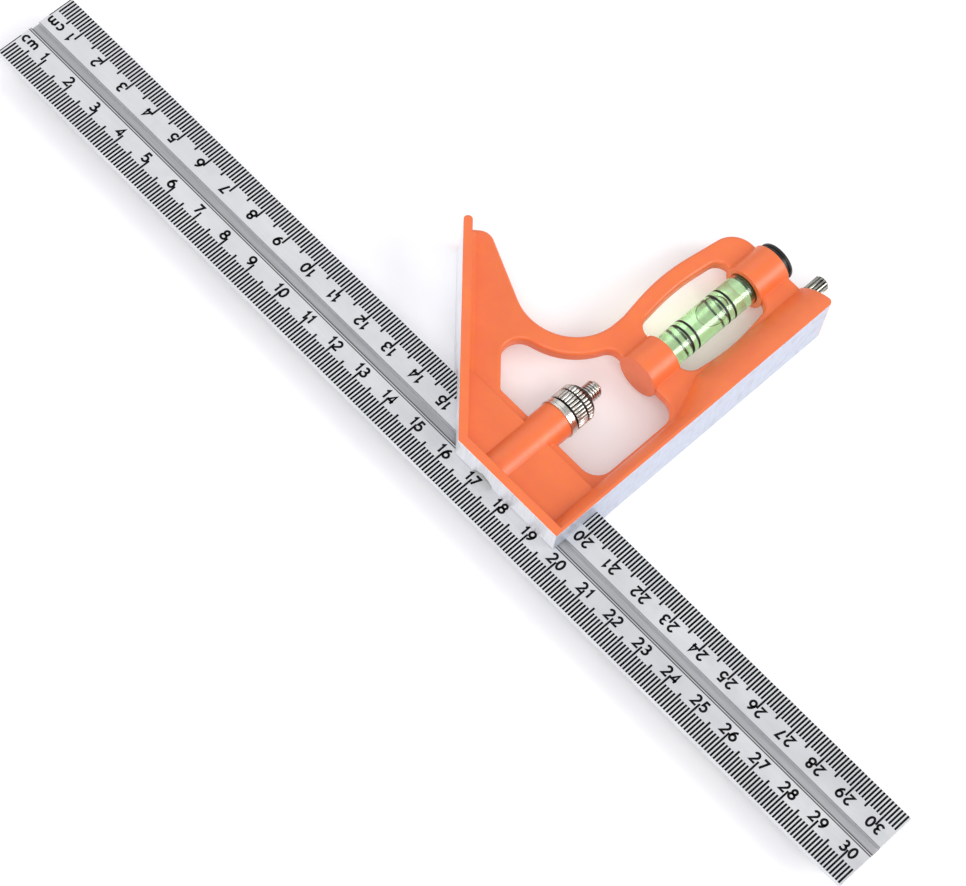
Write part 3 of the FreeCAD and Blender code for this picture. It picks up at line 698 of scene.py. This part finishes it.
def add_vial():
    """The clear tube, the green spirit with its bubble, the ribbed stopper and the rings."""
    outer = (tube_high.x - tube_low.x) / 2
    bore = (plug_high.x - plug_low.x) / 2
    floor = tube_low.y + TUBE_FLOOR
    ease = 0.4 * MM
    acrylic = clear_glass("vial_acrylic", (0.97, 0.99, 0.96), 1.49, 0.1, (0.97, 0.99, 0.96, 1))
    shell = turned(
        "vial_shell", vial_x,
        [
            (NEAR_AXIS, tube_low.y, 0),
            (outer - ease, tube_low.y, 0),
            (outer, tube_low.y + ease, 0),
            (outer, tube_high.y - ease, 0),
            (outer - ease, tube_high.y, 0),
            (bore, tube_high.y, 0),
            (bore, floor + ease, 0),
            (bore - ease, floor, 0),
            (NEAR_AXIS, floor, 0),
        ],
        "head", acrylic, steps=128,
    )
    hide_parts("vial_tube")

    spirit = clear_glass("vial_spirit", (0.66, 0.97, 0.64), 1.36, 0.1, (0.80, 0.93, 0.72, 1))
    # It reaches a hair into the tube's wall, so that no film of air is seen between them.
    wet = bore + 0.01 * MM
    spirit_low = floor + 0.02 * MM
    spirit_high = plug_low.y - 0.02 * MM
    fluid = turned(
        "vial_spirit_bar", vial_x,
        [
            (NEAR_AXIS, spirit_low, 0),
            (wet - ease, spirit_low, 0),
            (wet, floor + ease, 0),
            (wet, spirit_high, 0),
            (NEAR_AXIS, spirit_high, 0),
        ],
        "head", spirit, steps=128,
    )
    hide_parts("vial_liquid")

    air = clear_glass("bubble_air", (0.98, 1.0, 0.97), 0.9, 0.05, (1, 1, 1, 1))
    dress(nodes["vial_bubble"], air)

    rubber = moulded("plug_green", rgb(12, 52, 28), rgb(30, 88, 50), 0.3, 0.45)
    rib_pitch = 0.9 * MM
    valley = bore - 0.45 * MM
    rib = bore - 0.03 * MM
    ribs = []
    y = plug_low.y
    while y < plug_high.y - rib_pitch:
        ribs += [
            (valley, y, 0),
            (valley, y + 0.2 * MM, 0),
            (rib, y + 0.4 * MM, 0),
            (rib, y + 0.7 * MM, 0),
        ]
        y += rib_pitch
    ribs.append((bore - 0.4 * MM, plug_high.y, 0))
    plug = turned("plug_ribbed", vial_x, ribs, "head", rubber, steps=96)
    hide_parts("vial_plug")

    ink = moulded("ring_black", rgb(3, 3, 4), rgb(12, 12, 13), 0.4, 0.55, 0.2 * MM)
    sunk = outer - 0.06 * MM
    rim = outer + 0.01 * MM
    face = outer + 0.03 * MM
    bevel = 0.08 * MM
    for number in (1, 2, 3, 4):
        low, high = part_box(f"vial_ring_{number}")
        profile = [
            (sunk, low.y, 0),
            (rim, low.y, 0),
            (face, low.y + bevel, 0),
            (face, high.y - bevel, 0),
            (rim, high.y, 0),
            (sunk, high.y, 0),
        ]
        ring = turned(
            f"reading_ring_{number}", vial_x, profile, "head", ink,
            steps=128, closed=True,
        )
        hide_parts(f"vial_ring_{number}")


def add_cap():
    """The black cap over the vial's bore, with a shallow groove round its rim and a dished top."""
    radius = (cap_high.x - cap_low.x) / 2
    top = cap_high.y
    seat = head_high.y
    groove = radius - 0.25 * MM
    profile = [
        # Skirt in the bore, and the flange's underside
        (CAP_SKIRT, cap_low.y, 0),
        (CAP_SKIRT, seat + 0.02 * MM, 0),
        (radius - 0.1 * MM, seat + 0.02 * MM, 0),
        # Rim with its groove
        (radius, seat + 0.15 * MM, 0),
        (radius, seat + 0.85 * MM, 0),
        (groove, seat + 1.0 * MM, 0),
        (groove, seat + 1.3 * MM, 0),
        (radius, seat + 1.45 * MM, 0),
        (radius, top - 0.6 * MM, 0),
        # Rounded edge and dished top
        (radius - 0.2 * MM, top - 0.2 * MM, 0),
        (radius - 0.6 * MM, top, 0),
        (radius - 1.5 * MM, top, 0),
        (radius - 1.9 * MM, top - 0.35 * MM, 0),
        (0.3 * MM, top - 0.4 * MM, 0),
    ]
    plastic = moulded("cap_black", rgb(6, 6, 7), rgb(16, 16, 18), 0.3, 0.42)
    cap = turned("cap_grooved", vial_x, profile, "head", plastic, steps=96)
    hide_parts("vial_end_cap")


# Scriber


def add_knob():
    """The scriber's knob, with straight ridges and an eased top."""
    radius = (knob_high.x - knob_low.x) / 2
    deep = KNURL_DEPTH
    base = knob_low.y
    top = knob_high.y
    shoulder = base + 0.9 * MM
    profile = [
        (1.0 * MM, base, 0),
        (KNOB_NECK, base, 0),
        (KNOB_NECK, shoulder - 0.05 * MM, 0),
        (radius - 0.35 * MM, shoulder, 0),
        (radius, shoulder + 0.35 * MM, deep),
        (radius, top - 0.6 * MM, deep),
        (radius - 0.45 * MM, top - 0.12 * MM, deep * 0.5),
        (radius - 0.7 * MM, top, 0),
        (0.2 * MM, top, 0),
    ]
    ridges = 14
    steps_a_ridge = 12
    # The ridges' valleys get painted shade.
    metal = plated_steel(
        "knob_plate", scriber_x, (radius - deep, radius - 0.05 * MM),
        dark=(146, 146, 136), light=(182, 182, 172),
    )
    knob = turned(
        "knob_ridged", scriber_x, profile, "scriber", metal,
        steps=ridges * steps_a_ridge, ridges=ridges, flat=0.35,
    )
    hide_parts("scriber_knob")


# Stage


def add_floor():
    """A large pale floor just under the tool. It glows a little, so that it renders near white."""
    half = 2.5
    z = -0.05 * MM
    mesh = bpy.data.meshes.new("floor")
    mesh.from_pydata(
        [(-half, -half, z), (half, -half, z), (half, half, z), (-half, half, z)],
        [], [(0, 1, 2, 3)],
    )
    floor = bpy.data.objects.new("floor", mesh)
    bpy.context.scene.collection.objects.link(floor)
    look = Look("floor_pale", rgb(246, 245, 247), 0.7)
    cloud = look.noise(40 * MM, 2)
    shade = look.mix(look.spread(cloud, 0, 1), rgba(239, 239, 242), rgba(243, 243, 245))
    look.set(Base_Color=shade)
    look.set(Emission_Color=(1, 1, 1, 1), Emission_Strength=0.14)
    floor.data.materials.append(look.material)


def add_area_light(name, direction, distance, size, power, colour):
    """A soft round lamp that shines at the middle of the tool from some direction."""
    lamp = bpy.data.lights.new(name, "AREA")
    lamp.shape = "DISK"
    lamp.size = size
    lamp.energy = power
    lamp.color = colour
    target = Vector((0.0, 0.0, 0.01))
    towards = Vector(direction).normalized()
    holder = bpy.data.objects.new(name, lamp)
    holder.location = target + towards * distance
    holder.rotation_euler = towards.to_track_quat("Z", "Y").to_euler()
    bpy.context.scene.collection.objects.link(holder)


def light_scene():
    """An even pale world and four soft lamps. The streak lamp draws light lines on the bosses."""
    warm = (1.0, 0.99, 0.97)
    cool = (0.97, 0.98, 1.0)
    world = bpy.data.worlds.new("studio")
    world.use_nodes = True
    background = next(n for n in world.node_tree.nodes if n.type == "BACKGROUND")
    background.inputs["Color"].default_value = (*cool, 1)
    background.inputs["Strength"].default_value = 0.62
    bpy.context.scene.world = world
    add_area_light("key", (0.5, -0.45, 1.0), 1.5, 1.0, 7, warm)
    add_area_light("streak", (0.75, 0.37, 0.55), 1.4, 0.75, 9, warm)
    add_area_light("fill", (-0.9, 0.5, 1.2), 1.6, 1.3, 2.5, cool)
    add_area_light("front", (-0.45, -1.0, 0.35), 1.4, 0.7, 7, (1.0, 0.99, 0.99))
    bpy.context.scene.view_settings.view_transform = "Standard"


def add_camera():
    """A long lens above the front face, turned so that the rule runs down to the right."""
    elevation = math.radians(63.12)
    heading = math.radians(-34.31)
    roll = math.radians(13.11)
    back = Vector((0, -math.cos(elevation), math.sin(elevation)))
    level = Vector((1, 0, 0))
    upright = back.cross(level)
    right = math.cos(roll) * level + math.sin(roll) * upright
    up = -math.sin(roll) * level + math.cos(roll) * upright
    to_camera = Matrix((right, up, back)) @ Matrix.Rotation(heading, 3, "Z")
    # The camera's place in millimetres: right, up and back from the middle of the rule's face.
    aim = Vector((0, -45.5, 9.5))
    offset = Vector((11.478, -5.775, 874.704))
    place = aim + to_camera.transposed() @ offset
    data = bpy.data.cameras.new("camera")
    data.lens = 130.68
    data.sensor_width = 36
    data.clip_start = 0.05
    data.clip_end = 20
    camera = bpy.data.objects.new("camera", data)
    camera.matrix_world = Matrix.Translation(place * MM) @ to_camera.transposed().to_4x4()
    bpy.context.scene.collection.objects.link(camera)
    bpy.context.scene.camera = camera


black = scale_black()
dress(nodes["blade"], rule_steel())
dress(nodes["head"], head_paint())
bright = plated_steel("plated_steel", clamp_x)
dress(nodes["clamp_bolt"], bright)
dress(nodes["clamp_washer"], bright)
wire = turned_metal("spring_steel", rgb(150, 150, 154), rgb(190, 190, 194), 0.25, 0.4)
dress(nodes["clamp_spring"], wire)
hardened = turned_metal("scriber_steel", rgb(160, 160, 162), rgb(205, 205, 207), 0.18, 0.32)
dress(nodes["scriber_pin"], hardened)
brass = turned_metal("bush_brass", rgb(190, 150, 70), rgb(226, 190, 104), 0.25, 0.4)
dress(nodes["scriber_bush"], brass)
rubber = moulded("pad_rubber", rgb(22, 22, 23), rgb(48, 48, 50), 0.6, 0.85)
dress(nodes["vial_seat_pad"], rubber)

add_scale(1)
add_scale(-1)
add_nut()
add_thread()
add_vial()
add_cap()
add_knob()
add_floor()
light_scene()
add_camera()
